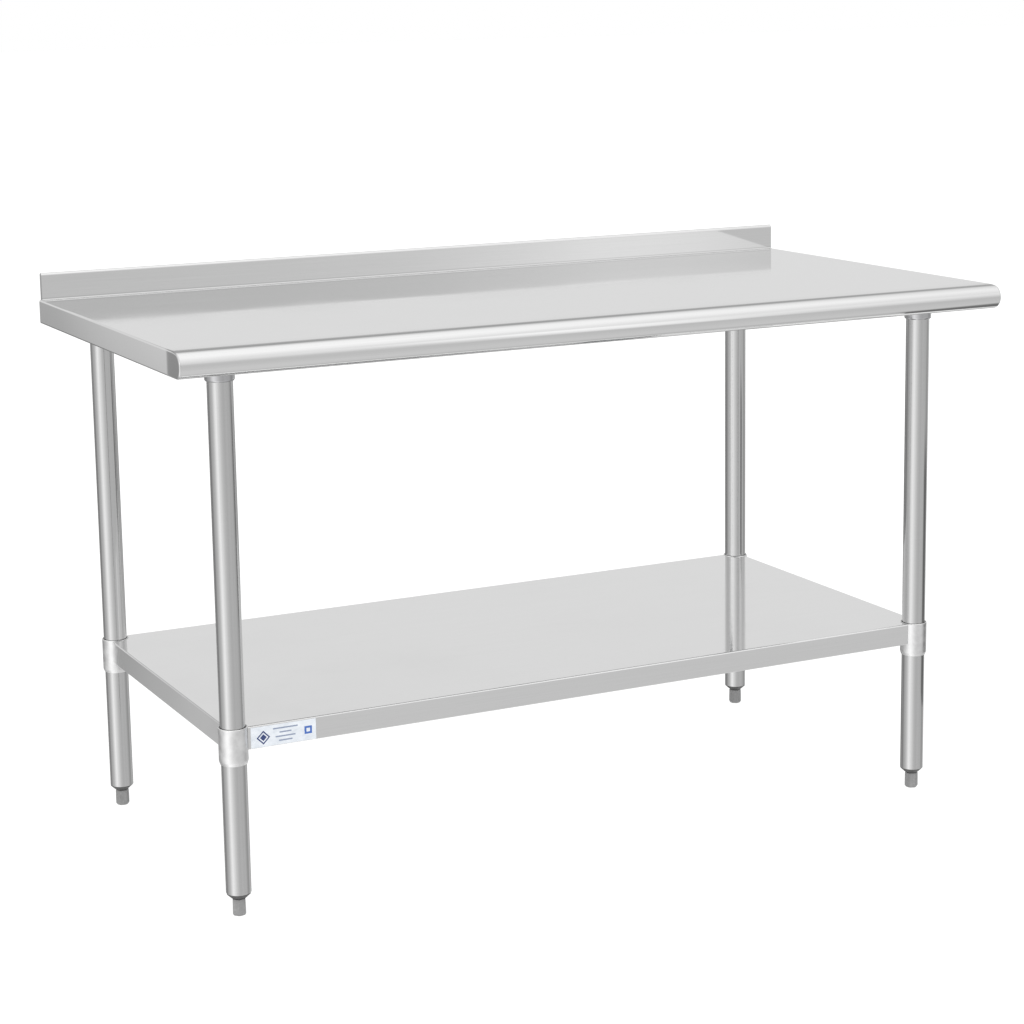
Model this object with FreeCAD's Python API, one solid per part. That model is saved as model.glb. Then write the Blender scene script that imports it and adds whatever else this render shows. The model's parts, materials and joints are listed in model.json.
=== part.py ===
"""Stainless work table with a rolled front edge, a low boxed upstand and an adjustable undershelf.

Millimetres. X runs along the length, Y to the rear, Z up. The origin is on the floor, under the
centre of the worktop. Each sub-part is one STEP file in parts/, named as its node.
"""

import FreeCAD, Part
import math
import os

V = FreeCAD.Vector
UP = V(0, 0, 1)

# --- driving dimensions -------------------------------------------------------------------------

LENGTH = 1524.0
DEPTH = 762.0
WORK_HEIGHT = 940.0
EDGE = 42.0  # height of the front roll and of the flanges
CROWN = 6.0  # angle of the gentle bend between the deck and the roll, in degrees
CROWN_RADIUS = 190.0
UPSTAND = 48.0
UPSTAND_THICK = 10.0
UPSTAND_INSET = 3.0
SHEET = 1.2
BEND = 1.5  # inside radius of a folded corner
COVE = 3.0  # radius between the deck and the upstand
WORKTOP_ROUND = 3.0  # outside radius where the worktop turns down into an end flange
SHELF_ROUND = 2.2
RETURN = 15.0  # width of the returns under the worktop's ends

LEG_X = 661.0
LEG_FRONT_Y = -272.0
LEG_REAR_Y = 350.0
TUBE_OD = 41.3
TUBE_WALL = 1.2
TUBE_BOTTOM = 38.0
TUBE_TOP = 933.0

CHANNEL_DEPTH = 37.2
CHANNEL_SHEET = 1.5
CHANNEL_FLANGE = 15.0
TAPE = 0.8
CROSS_WIDTH = 100.0  # face of the hat channels that carry the leg sockets
CROSS_OVERRUN = 46.0  # of those channels in front of the front leg axes
DECK_CHANNEL_WIDTH = 60.0
DECK_CHANNEL_OFFSET = 170.0  # of the two long channels from the middle of the leg square

SOCKET_OD = 47.5
SOCKET_BORE = 41.8
SOCKET_BOTTOM = 876.0
SOCKET_TOP = 936.0
PLATE = 3.0

SHELF_TOP = 315.0
SHELF_FLANGE = 38.0
SHELF_OVERHANG = 12.0  # of the shelf's flanges beyond the leg axes
HEM_HEIGHT = 10.0
HEM_GAP = 0.6
SHELF_CHANNEL_DEPTH = 30.0

COLLAR_OD = 47.5
COLLAR_BORE = 42.1
COLLAR_TOP = 316.0
COLLAR_BOTTOM = 255.0
WING = 4.0
WING_LENGTH = 78.0

STUD = 12.0
STUD_BORE = 12.15
FOOT_TOP = 27.6
FOOT_FLATS = 20.6

M5, M6, M8 = 5.0, 6.0, 8.0
BOLT_HOLE = M6 / 2 + 0.3  # radius

# --- values that follow from them ---------------------------------------------------------------

HALF = LENGTH / 2
REAR = DEPTH / 2
CROWN_COS, CROWN_SIN = math.cos(math.radians(CROWN)), math.sin(math.radians(CROWN))
ROLL = (EDGE - CROWN_RADIUS * (1 - CROWN_COS)) / (1 + CROWN_COS)  # outside radius of the roll
FLANGE_BOTTOM = WORK_HEIGHT - EDGE
FRONT = ROLL - REAR  # Y of the roll's axis
FRONT_Z = FLANGE_BOTTOM + ROLL
CROWN_Y = FRONT + (CROWN_RADIUS - ROLL) * CROWN_SIN  # where the level deck begins
DECK_UNDER = WORK_HEIGHT - SHEET
CHANNEL_TOP = DECK_UNDER - TAPE
CHANNEL_BOTTOM = CHANNEL_TOP - CHANNEL_DEPTH
LEG_MID_Y = (LEG_FRONT_Y + LEG_REAR_Y) / 2
SHELF_HALF = LEG_X + SHELF_OVERHANG
SHELF_FRONT = LEG_FRONT_Y - SHELF_OVERHANG
SHELF_REAR = LEG_REAR_Y + SHELF_OVERHANG
SHELF_BOTTOM = SHELF_TOP - SHELF_FLANGE
TUBE_R = TUBE_OD / 2

# Each leg: its axis, and which way the middle of the table lies from it.
LEGS = {
    "front_left": (V(-LEG_X, LEG_FRONT_Y, 0), 1, 1),
    "front_right": (V(LEG_X, LEG_FRONT_Y, 0), -1, 1),
    "rear_left": (V(-LEG_X, LEG_REAR_Y, 0), 1, -1),
    "rear_right": (V(LEG_X, LEG_REAR_Y, 0), -1, -1),
}
# How far each foot happens to be turned about its own axis, in degrees.
FOOT_TURN = {"front_left": 11.0, "front_right": 37.0, "rear_left": 52.0, "rear_right": 24.0}


# --- general shapes -----------------------------------------------------------------------------


def box(low, high):
    """Block between two opposite corners, given in any order."""
    low, high = [min(a, b) for a, b in zip(low, high)], [max(a, b) for a, b in zip(low, high)]
    return Part.makeBox(high[0] - low[0], high[1] - low[1], high[2] - low[2], V(*low))


def rod(radius, low, high):
    """Upright cylinder about the Z axis, from one height to another."""
    return Part.makeCylinder(radius, high - low, V(0, 0, low))


def turned(outline):
    """Solid of revolution about Z, from (radius, height) points in order."""
    points = [V(r, 0, z) for r, z in outline]
    face = Part.Face(Part.makePolygon(points + points[:1]))
    return face.revolve(V(0, 0, 0), UP, 360)


def hexagon(flats, height, turn=0.0):
    """Level hexagon wire about the Z axis, by its width across the flats."""
    corner = flats / math.sqrt(3)
    angles = [math.radians(turn + 60 * i) for i in range(6)]
    points = [V(corner * math.cos(a), corner * math.sin(a), height) for a in angles]
    return Part.makePolygon(points + points[:1])


def hexagon_prism(sections, turn=0.0):
    """Hexagonal bar about Z through (flats, height) sections, each straight to the next."""
    wires = [hexagon(flats, height, turn) for flats, height in sections]
    return Part.makeLoft(wires, True, True)


def moved(shape, place):
    """Copy of a shape, shifted by a vector."""
    copy = shape.copy()
    copy.translate(place)
    return copy


def joined(shapes):
    """One clean solid from overlapping shapes."""
    return shapes[0].fuse(shapes[1:]).removeSplitter()


def bent_sheet(start, heading, moves, thickness, place):
    """Face of a bent sheet's section.

    The section starts at a point on the sheet's left side and follows moves: (length,) is a
    straight run, and (turn in degrees, inside radius) is a bend, with a left turn positive. place
    turns the section's two coordinates into a point in space.
    """
    left, right = [], []
    u, v = start
    angle = math.radians(heading)

    def at(centre, radius, direction):
        return place(
            centre[0] + radius * math.cos(direction), centre[1] + radius * math.sin(direction)
        )

    for move in moves:
        across = angle - math.pi / 2
        if len(move) == 1:
            far = (u + move[0] * math.cos(angle), v + move[0] * math.sin(angle))
            left.append(Part.makeLine(place(u, v), place(*far)))
            right.append(Part.makeLine(at((u, v), thickness, across), at(far, thickness, across)))
            u, v = far
            continue
        turn, inside = math.radians(move[0]), move[1]
        side = 1 if turn > 0 else -1
        left_radius = inside if side > 0 else inside + thickness
        right_radius = inside + thickness if side > 0 else inside
        centre = (u - side * left_radius * math.cos(across), v - side * left_radius * math.sin(across))
        spoke = across if side > 0 else across + math.pi
        stops = [spoke, spoke + turn / 2, spoke + turn]
        left.append(Part.Arc(*[at(centre, left_radius, s) for s in stops]).toShape())
        right.append(Part.Arc(*[at(centre, right_radius, s) for s in stops]).toShape())
        u = centre[0] + left_radius * math.cos(stops[2])
        v = centre[1] + left_radius * math.sin(stops[2])
        angle += turn
    first = Part.makeLine(left[0].firstVertex().Point, right[0].firstVertex().Point)
    last = Part.makeLine(left[-1].lastVertex().Point, right[-1].lastVertex().Point)
    wire = Part.Wire(Part.__sortEdges__(left + right + [first, last]))
    return Part.Face(wire)


def along_x(x):
    """Place for a section that is extruded along X."""
    return lambda u, v: V(x, u, v)


def along_y(y):
    """Place for a section that is extruded along Y."""
    return lambda u, v: V(u, y, v)


def outline_face(points, arcs=()):
    """Flat face from a chain of points joined by straight lines, closed by any arcs given."""
    edges = [Part.makeLine(a, b) for a, b in zip(points[:-1], points[1:])]
    edges += [Part.Arc(*arc).toShape() for arc in arcs]
    return Part.Face(Part.Wire(Part.__sortEdges__(edges)))


def top_end_edges(shape, half, height, length):
    """The straight edges, near a given length, where a deck meets its end flanges."""
    return [
        edge
        for edge in shape.Edges
        if edge.Length > length
        and all(abs(abs(p.X) - half) < 0.01 and abs(p.Z - height) < 0.01 for p in edge.Vertexes)
    ]


# --- worktop ------------------------------------------------------------------------------------


def worktop_section(x):
    """The sheet's section: a lip inside the roll, the roll, the deck, the upstand and the rear."""
    lip = 12.0
    return_length = 34.0
    fold = UPSTAND_THICK / 2
    upstand_y = REAR - UPSTAND_THICK
    hem_outer = HEM_GAP / 2 + SHEET
    top = WORK_HEIGHT + UPSTAND
    moves = [
        (lip - BEND - SHEET,),
        (-90, BEND),
        (return_length - BEND - SHEET,),
        (CROWN - 180, ROLL - SHEET),
        (-CROWN, CROWN_RADIUS - SHEET),
        (upstand_y - COVE - CROWN_Y,),
        (90, COVE),
        (top - fold - WORK_HEIGHT - COVE,),
        (-180, fold - SHEET),
        (top - fold - FLANGE_BOTTOM - hem_outer,),
        (-180, HEM_GAP / 2),
        (HEM_HEIGHT - hem_outer,),
    ]
    start = (FRONT + return_length, FLANGE_BOTTOM + lip)
    return bent_sheet(start, -90, moves, SHEET, along_x(x))


def worktop_end_outline(x, inset):
    """Outline of the worktop's end, with the roll and the crown at the front."""
    low, high, radius, rear = FLANGE_BOTTOM + inset, WORK_HEIGHT - inset, ROLL - inset, REAR - inset
    crown_radius, crown_z = CROWN_RADIUS - inset, WORK_HEIGHT - CROWN_RADIUS
    half_crown = math.radians(CROWN / 2)
    meeting = V(x, FRONT - radius * CROWN_SIN, FRONT_Z + radius * CROWN_COS)
    crown_middle = V(
        x,
        CROWN_Y - crown_radius * math.sin(half_crown),
        crown_z + crown_radius * math.cos(half_crown),
    )
    nose = (V(x, FRONT, low), V(x, FRONT - radius, FRONT_Z), meeting)
    crown = (meeting, crown_middle, V(x, CROWN_Y, high))
    points = [V(x, CROWN_Y, high), V(x, rear, high), V(x, rear, low), V(x, FRONT, low)]
    return outline_face(points, (nose, crown))


def end_edges(shape, x):
    """The edges that lie in the plane of an end, apart from the rear one."""
    return [
        edge
        for edge in shape.Edges
        if all(abs(abs(p.X) - x) < 0.01 for p in edge.Vertexes)
        and any(p.Y < REAR - 2 * SHEET for p in edge.Vertexes)
    ]


def worktop_end(side):
    """End flange: a shallow dished cap whose rounded rim runs into the deck, roll and return."""
    rim = 6.0
    cap = worktop_end_outline(side * (HALF - rim), 0).extrude(V(side * rim, 0, 0))
    cap = cap.makeFillet(WORKTOP_ROUND, end_edges(cap, HALF))
    depth = rim + 1 - SHEET
    dish = worktop_end_outline(side * (HALF - rim - 1), SHEET).extrude(V(side * depth, 0, 0))
    dish = dish.makeFillet(WORKTOP_ROUND - SHEET, end_edges(dish, HALF - SHEET))
    return cap.cut(dish)


def upstand_end(x):
    """Outline that closes the hollow end of the boxed upstand, cove and all."""
    front, fold = REAR - UPSTAND_THICK, UPSTAND_THICK / 2
    crest, middle = WORK_HEIGHT + UPSTAND, COVE * (1 - math.sqrt(0.5))
    foot, top = V(x, front - COVE, WORK_HEIGHT), V(x, front, crest - fold)
    cove = (foot, V(x, front - middle, WORK_HEIGHT + middle), V(x, front, WORK_HEIGHT + COVE))
    crown = (V(x, REAR, crest - fold), V(x, REAR - fold, crest), top)
    rear = [V(x, REAR, crest - fold), V(x, REAR, DECK_UNDER), V(x, front - COVE, DECK_UNDER), foot]
    sheet = Part.makeLine(V(x, front, WORK_HEIGHT + COVE), top)
    edges = [Part.makeLine(a, b) for a, b in zip(rear[:-1], rear[1:])] + [sheet]
    edges += [Part.Arc(*arc).toShape() for arc in (cove, crown)]
    return Part.Face(Part.Wire(Part.__sortEdges__(edges)))


def worktop():
    """One folded sheet with its end flanges, their inward returns and the closed upstand."""
    half = HALF - UPSTAND_INSET
    pieces = [worktop_section(-half).extrude(V(2 * half, 0, 0))]
    for side in (-1, 1):
        pieces += [
            worktop_end(side),
            upstand_end(side * half).extrude(V(-side * SHEET, 0, 0)),
            box(
                (side * (HALF - RETURN), FRONT + 5, FLANGE_BOTTOM),
                (side * (HALF - 3), REAR - 4, FLANGE_BOTTOM + SHEET),
            ),
        ]
    return joined(pieces)


# --- channels and damping strips under the deck --------------------------------------------------


def hat_section(centre, width, top, depth, place):
    """Section of a hat channel that hangs below a level surface."""
    flat = width - 2 * (BEND + CHANNEL_SHEET)
    web = depth - 2 * (BEND + CHANNEL_SHEET)
    moves = [
        (CHANNEL_FLANGE - BEND,),
        (-90, BEND),
        (web,),
        (90, BEND),
        (flat,),
        (90, BEND),
        (web,),
        (-90, BEND),
        (CHANNEL_FLANGE - BEND,),
    ]
    start = (centre - width / 2 - CHANNEL_FLANGE, top)
    return bent_sheet(start, 0, moves, CHANNEL_SHEET, place)


def cross_channel(side):
    """Front-to-rear hat channel over one pair of legs, with holes for the sockets and bolts."""
    front, rear = LEG_FRONT_Y - CROSS_OVERRUN, REAR - 5
    section = hat_section(side * LEG_X, CROSS_WIDTH, CHANNEL_TOP, CHANNEL_DEPTH, along_y(front))
    channel = section.extrude(V(0, rear - front, 0))
    low, high = CHANNEL_BOTTOM - 5, CHANNEL_TOP - 8
    for axis, _, _ in LEGS.values():
        if axis.x * side < 0:
            continue
        channel = channel.cut(moved(rod(SOCKET_OD / 2 + 0.5, low, high), axis))
        for place in bolt_places():
            channel = channel.cut(moved(rod(BOLT_HOLE, low, high), axis + place))
    return channel


# Half length of the lengthwise channels, which stop just short of the cross channels.
DECK_REACH = LEG_X - CROSS_WIDTH / 2 - CHANNEL_FLANGE - 2


def deck_channel(offset):
    """Lengthwise hat channel between the two cross channels."""
    place = along_x(-DECK_REACH)
    centre = LEG_MID_Y + offset
    section = hat_section(centre, DECK_CHANNEL_WIDTH, CHANNEL_TOP, CHANNEL_DEPTH, place)
    return section.extrude(V(2 * DECK_REACH, 0, 0))


def cross_tape(side):
    """Damping strips between the deck and the two flanges of a cross channel."""
    front, rear = LEG_FRONT_Y - CROSS_OVERRUN, REAR - 14
    strips = []
    for hand in (-1, 1):
        middle = side * LEG_X + hand * (CROSS_WIDTH + CHANNEL_FLANGE) / 2
        low = (middle - CHANNEL_FLANGE / 2 + 1, front, CHANNEL_TOP)
        strips.append(box(low, (middle + CHANNEL_FLANGE / 2 - 1, rear, DECK_UNDER)))
    return Part.makeCompound(strips)


def deck_tape(offset):
    """Damping strips between the deck and the two flanges of a lengthwise channel."""
    strips = []
    for hand in (-1, 1):
        middle = LEG_MID_Y + offset + hand * (DECK_CHANNEL_WIDTH + CHANNEL_FLANGE) / 2
        low = (-DECK_REACH, middle - CHANNEL_FLANGE / 2 + 1, CHANNEL_TOP)
        strips.append(box(low, (DECK_REACH, middle + CHANNEL_FLANGE / 2 - 1, DECK_UNDER)))
    return Part.makeCompound(strips)


# --- legs, sockets and their fasteners ------------------------------------------------------------


def bolt_places():
    """The four bolts of a socket plate, from the leg's axis."""
    return [V(x, y, 0) for x in (-36, 36) for y in (-15, 15)]


def inward(hand_x, hand_y):
    """Level unit vector from a leg towards the middle of the table."""
    return V(hand_x, hand_y, 0).normalize()


def screw_boss(direction, height, diameter, reach):
    """Level round boss that stands out from a collar, for its grub screw."""
    start = direction * (TUBE_R + 1.5)
    return Part.makeCylinder(diameter / 2, reach - TUBE_R - 1.5, start + V(0, 0, height), direction)


def screw_hole(direction, height, reach):
    """Level hole through a collar and its boss, for the grub screw."""
    start = direction * (TUBE_R - 3)
    return Part.makeCylinder(M8 / 2 + 0.05, reach + 5, start + V(0, 0, height), direction)


SOCKET_SCREW_Z = SOCKET_BOTTOM + 11.0
SOCKET_REACH = 32.0
BRACKET_SCREW_Z = SHELF_TOP - 17.0
BRACKET_REACH = 33.0


def socket_cup():
    """Cup of a leg socket: a closed tube whose mouth has a rounded lip."""
    outer, bore = SOCKET_OD / 2, SOCKET_BORE / 2
    mouth = bore + 0.4
    roof = 2.0
    lip = 4.2
    rim = (
        V(mouth, 0, SOCKET_BOTTOM),
        V(outer - 0.75, 0, SOCKET_BOTTOM + 0.28 * lip),
        V(outer, 0, SOCKET_BOTTOM + lip),
    )
    points = [
        V(outer, 0, SOCKET_BOTTOM + lip),
        V(outer, 0, SOCKET_TOP),
        V(0, 0, SOCKET_TOP),
        V(0, 0, SOCKET_TOP - roof),
        V(bore, 0, SOCKET_TOP - roof),
        V(bore, 0, SOCKET_BOTTOM + 1),
        V(mouth, 0, SOCKET_BOTTOM),
    ]
    return outline_face(points, (rim,)).revolve(V(0, 0, 0), UP, 360)


def socket_plate():
    """Bolting plate round a leg socket, against the underside of the cross channel."""
    half_length, half_width, corner = 46.0, 25.0, 6.0
    low, high = CHANNEL_BOTTOM - PLATE, CHANNEL_BOTTOM
    plate = box((-half_length, -half_width, low), (half_length, half_width, high))
    plate = plate.makeFillet(corner, [e for e in plate.Edges if abs(e.Length - PLATE) < 0.01])
    plate = plate.cut(rod(SOCKET_BORE / 2 + 1, low - 1, high + 1))
    for place in bolt_places():
        plate = plate.cut(moved(rod(BOLT_HOLE, low - 1, high + 1), place))
    return plate


def leg_socket(hand_x, hand_y):
    """Cup that holds the top of a leg, with its bolting plate and a boss for the grub screw."""
    direction = inward(hand_x, hand_y)
    boss = screw_boss(direction, SOCKET_SCREW_Z, 12, SOCKET_REACH)
    body = joined([socket_cup(), socket_plate(), boss])
    return body.cut(screw_hole(direction, SOCKET_SCREW_Z, SOCKET_REACH))


def grub_screw(direction, height, reach):
    """M8 grub screw with a hexagon recess, its tip just off the tube."""
    tip = TUBE_R + 0.1
    length = reach - 0.8 - tip
    body = rod(M8 / 2 - 0.02, 0, length)
    body = body.cut(hexagon_prism([(4.0, length - 4.5), (4.0, length + 1)]))
    start = direction * tip + V(0, 0, height)
    body.Placement = FreeCAD.Placement(start, FreeCAD.Rotation(UP, direction))
    return body


def grub_screws(height, reach):
    """The four grub screws at one height, one in each leg's collar."""
    screws = []
    for axis, hand_x, hand_y in LEGS.values():
        screws.append(moved(grub_screw(inward(hand_x, hand_y), height, reach), axis))
    return Part.makeCompound(screws)


def socket_bolt():
    """Hexagon-headed M6 bolt, head below the socket's plate."""
    flats, head, chamfer = 10.0, 4.0, 1.0
    top = CHANNEL_BOTTOM - PLATE
    low = top - head
    shank = rod(M6 / 2, top - 1, CHANNEL_BOTTOM + CHANNEL_SHEET + 7)
    blank = [(0, low), (flats / 2, low), (flats / 2 + 1.2, low + chamfer)]
    blank += [(flats / 2 + 1.2, top), (0, top)]
    hexagonal = hexagon_prism([(flats, low), (flats, top)])
    return joined([shank, hexagonal.common(turned(blank))])


def socket_nut():
    """Hexagon nut inside the cross channel."""
    low, flats, height = CHANNEL_BOTTOM + CHANNEL_SHEET, 10.0, 5.0
    nut = hexagon_prism([(flats, low), (flats, low + height)])
    return nut.cut(rod(M6 / 2 + 0.02, low - 1, low + height + 1))


def at_every_bolt(shape):
    """One copy of a fastener at each bolt place of each socket."""
    places = [axis + place for axis, _, _ in LEGS.values() for place in bolt_places()]
    return Part.makeCompound([moved(shape, place) for place in places])


def leg_tube():
    """Straight tube of a leg, with its lower rim broken."""
    tube = rod(TUBE_R, TUBE_BOTTOM, TUBE_TOP)
    tube = tube.makeFillet(0.5, [e for e in tube.Edges if e.BoundBox.ZMax < TUBE_BOTTOM + 1])
    return tube.cut(rod(TUBE_R - TUBE_WALL, TUBE_BOTTOM - 1, TUBE_TOP + 1))


# --- feet ---------------------------------------------------------------------------------------


INSERT_BOTTOM = TUBE_BOTTOM - 9.0
INSERT_TOP = TUBE_BOTTOM + 34.0
FACET_FLATS = 38.4  # across the flange's facets, just below the tube


def foot_insert(turn):
    """Plug in the end of a leg: two ribs inside the tube, and a flange that tapers to a hexagon."""
    bore = TUBE_R - TUBE_WALL
    rib, root, rib_height = bore - 0.15, bore - 1.2, 5.0
    plug = turned(
        [
            (0, TUBE_BOTTOM),
            (rib, TUBE_BOTTOM),
            (rib, TUBE_BOTTOM + rib_height),
            (root, TUBE_BOTTOM + rib_height),
            (root, INSERT_TOP - 2 * rib_height),
            (rib, INSERT_TOP - 2 * rib_height),
            (rib, INSERT_TOP - rib_height),
            (root - 1, INSERT_TOP),
            (0, INSERT_TOP),
        ]
    )
    shoulder, waist = TUBE_R - 0.3, FOOT_FLATS / math.sqrt(3) + 0.4
    shoulder_z = TUBE_BOTTOM - 1.4
    cone = turned(
        [
            (0, INSERT_BOTTOM),
            (waist, INSERT_BOTTOM),
            (shoulder, shoulder_z),
            (shoulder, TUBE_BOTTOM),
            (0, TUBE_BOTTOM),
        ]
    )
    wide = FACET_FLATS
    sections = [(FOOT_FLATS + 1.0, INSERT_BOTTOM), (wide, shoulder_z), (wide, TUBE_BOTTOM)]
    flange = cone.common(hexagon_prism(sections, turn))
    return joined([plug, flange]).cut(rod(STUD_BORE / 2, INSERT_BOTTOM - 1, INSERT_TOP + 1))


STUD_BOTTOM = FOOT_TOP - 14.0
STUD_TOP = INSERT_TOP + 3.0


def foot_stud():
    """Threaded stud of a foot, at its outside diameter."""
    radius, chamfer = STUD / 2, 1.2
    return turned(
        [
            (0, STUD_BOTTOM),
            (radius, STUD_BOTTOM),
            (radius, STUD_TOP - chamfer),
            (radius - chamfer, STUD_TOP),
            (0, STUD_TOP),
        ]
    )


def foot(turn):
    """Hexagonal foot: a slightly flared bar with a chamfered sole and a blind hole for its stud."""
    sole, flare = 3.0, FOOT_FLATS + 0.8
    sections = [(flare - 2.4, 0), (flare, sole), (flare, sole + 2), (FOOT_FLATS, FOOT_TOP)]
    bar = hexagon_prism(sections, turn)
    corner = flare / math.sqrt(3) - 0.2
    blank = [(0, 0), (corner - 2, 0), (corner, sole), (corner, FOOT_TOP - 1)]
    blank += [(corner - 0.8, FOOT_TOP), (0, FOOT_TOP)]
    trimmed = bar.common(turned(blank))
    return trimmed.cut(rod(STUD_BORE / 2, STUD_BOTTOM - 0.4, FOOT_TOP + 1))


# --- undershelf ---------------------------------------------------------------------------------


def shelf_section(x):
    """Section of the shelf: a hemmed flange, the deck and the other hemmed flange."""
    hem_outer = HEM_GAP / 2 + SHEET
    outer = BEND + SHEET
    upright = SHELF_FLANGE - hem_outer - outer
    moves = [
        (HEM_HEIGHT - hem_outer,),
        (-180, HEM_GAP / 2),
        (upright,),
        (-90, BEND),
        (SHELF_REAR - SHELF_FRONT - 2 * outer,),
        (-90, BEND),
        (upright,),
        (-180, HEM_GAP / 2),
        (HEM_HEIGHT - hem_outer,),
    ]
    start = (SHELF_FRONT + 2 * hem_outer, SHELF_BOTTOM + HEM_HEIGHT)
    return bent_sheet(start, -90, moves, SHEET, along_x(x))


def shelf_end(side):
    """The three runs of an end flange: the flange itself, its folded foot and its hem."""
    inner = SHELF_HALF - SHEET
    hem = inner - HEM_GAP
    low, high = SHELF_FRONT + 4, SHELF_REAR - 4
    return [
        box(
            (side * inner, SHELF_FRONT, SHELF_BOTTOM),
            (side * SHELF_HALF, SHELF_REAR, SHELF_TOP),
        ),
        box(
            (side * (hem - SHEET), low, SHELF_BOTTOM),
            (side * hem, high, SHELF_BOTTOM + HEM_HEIGHT),
        ),
        box(
            (side * (hem - SHEET), low, SHELF_BOTTOM),
            (side * inner, high, SHELF_BOTTOM + SHEET),
        ),
    ]


def undershelf():
    """One folded sheet, notched at its corners where the cast brackets come through."""
    inner = SHELF_HALF - SHEET
    sheet = shelf_section(-inner).extrude(V(2 * inner, 0, 0))
    shelf = joined([sheet] + shelf_end(-1) + shelf_end(1))
    notch = rod(COLLAR_OD / 2 + 0.25, SHELF_BOTTOM - 5, SHELF_TOP + 5)
    for axis, _, _ in LEGS.values():
        shelf = shelf.cut(moved(notch, axis))
    longest_arc = 300.0
    return shelf.makeFillet(SHELF_ROUND, top_end_edges(shelf, SHELF_HALF, SHELF_TOP, longest_arc))


# Half length of the channel under the shelf.
SHELF_REACH = LEG_X - 70


def shelf_channel():
    """Lengthwise hat channel under the middle of the shelf."""
    top = SHELF_TOP - SHEET - TAPE
    place = along_x(-SHELF_REACH)
    section = hat_section(LEG_MID_Y, DECK_CHANNEL_WIDTH, top, SHELF_CHANNEL_DEPTH, place)
    return section.extrude(V(2 * SHELF_REACH, 0, 0))


def shelf_tape():
    """Damping strips between the shelf and its channel."""
    under = SHELF_TOP - SHEET
    strips = []
    for hand in (-1, 1):
        middle = LEG_MID_Y + hand * (DECK_CHANNEL_WIDTH + CHANNEL_FLANGE) / 2
        low = (-SHELF_REACH, middle - CHANNEL_FLANGE / 2 + 1, under - TAPE)
        strips.append(box(low, (SHELF_REACH, middle + CHANNEL_FLANGE / 2 - 1, under)))
    return Part.makeCompound(strips)


# Inner face of the shelf's hem, and so the outer face of a bracket's wing, from the leg's axis.
WING_FACE = SHELF_OVERHANG - 2 * SHEET - HEM_GAP - 0.1
WING_STUDS = (42.0, 66.0)  # distances from the leg's axis along a wing
WING_STUD_Z = SHELF_TOP - 15.0


def wing_outline(y):
    """A wing that lies behind a flange, with its lower corner cut off at the tip."""
    inner, low, high, cut = COLLAR_OD / 2 - 2, SHELF_BOTTOM + 2, SHELF_TOP - SHEET - 1, 12.0
    points = [
        V(inner, y, low),
        V(WING_LENGTH - cut, y, low),
        V(WING_LENGTH, y, low + cut),
        V(WING_LENGTH, y, high),
        V(inner, y, high),
    ]
    return Part.Face(Part.makePolygon(points + points[:1]))


def swapped(shape):
    """The shape with its X and Y exchanged."""
    return shape.mirror(V(0, 0, 0), V(1, -1, 0).normalize())


def wing():
    """Wing along X of a bracket, with the two holes for its weld studs."""
    blade = wing_outline(-WING_FACE).extrude(V(0, WING, 0))
    for along in WING_STUDS:
        start = V(along, -WING_FACE - 1, WING_STUD_Z)
        blade = blade.cut(Part.makeCylinder(M5 / 2 + 0.3, WING + 2, start, V(0, 1, 0)))
    return blade


def corner_bracket():
    """Cast bracket for a corner whose table lies towards +X and +Y."""
    outer, bore = COLLAR_OD / 2, COLLAR_BORE / 2
    core = bore - 3
    collar = turned(
        [
            (core, COLLAR_BOTTOM),
            (outer - 1.9, COLLAR_BOTTOM),
            (outer - 1.2, COLLAR_BOTTOM + 2.0),
            (outer, COLLAR_BOTTOM + 5.5),
            (outer, COLLAR_TOP - 0.8),
            (outer - 0.8, COLLAR_TOP),
            (core, COLLAR_TOP),
        ]
    )
    recess, recess_depth = bore + 1.1, 3.5
    hollow = turned(
        [
            (0, COLLAR_BOTTOM - 1),
            (bore, COLLAR_BOTTOM - 1),
            (bore, COLLAR_TOP - recess_depth),
            (recess, COLLAR_TOP - recess_depth),
            (recess, COLLAR_TOP + 1),
            (0, COLLAR_TOP + 1),
        ]
    )
    direction = inward(1, 1)
    boss = screw_boss(direction, BRACKET_SCREW_Z, 14, BRACKET_REACH)
    blade = wing()
    bracket = joined([collar, blade, swapped(blade), boss])
    return bracket.cut(hollow).cut(screw_hole(direction, BRACKET_SCREW_Z, BRACKET_REACH))


def wing_stud():
    """Weld stud on the inside of a flange, through the first wing of a +X +Y bracket."""
    start = -SHELF_OVERHANG + SHEET
    return Part.makeCylinder(M5 / 2, 17, V(0, start, WING_STUD_Z), V(0, 1, 0))


def wing_nut():
    """Hexagon nut on a weld stud, against the wing's inner face."""
    flats, height = 8.0, 4.0
    nut = hexagon_prism([(flats, 0), (flats, height)]).cut(rod(M5 / 2 + 0.02, -1, height + 1))
    start = V(0, WING - WING_FACE, WING_STUD_Z)
    nut.Placement = FreeCAD.Placement(start, FreeCAD.Rotation(UP, V(0, 1, 0)))
    return nut


def at_corner(shape, axis, hand_x, hand_y):
    """A +X +Y corner's shape, mirrored to face inwards from any leg."""
    result = shape
    if hand_x < 0:
        result = result.mirror(V(0, 0, 0), V(1, 0, 0))
    if hand_y < 0:
        result = result.mirror(V(0, 0, 0), V(0, 1, 0))
    return moved(result, axis)


def at_every_wing(shape):
    """One copy of a fastener at both places of both wings of each bracket."""
    copies = []
    for axis, hand_x, hand_y in LEGS.values():
        for along in WING_STUDS:
            first = moved(shape, V(along, 0, 0))
            copies += [at_corner(first, axis, hand_x, hand_y)]
            copies += [at_corner(swapped(first), axis, hand_x, hand_y)]
    return Part.makeCompound(copies)


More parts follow.
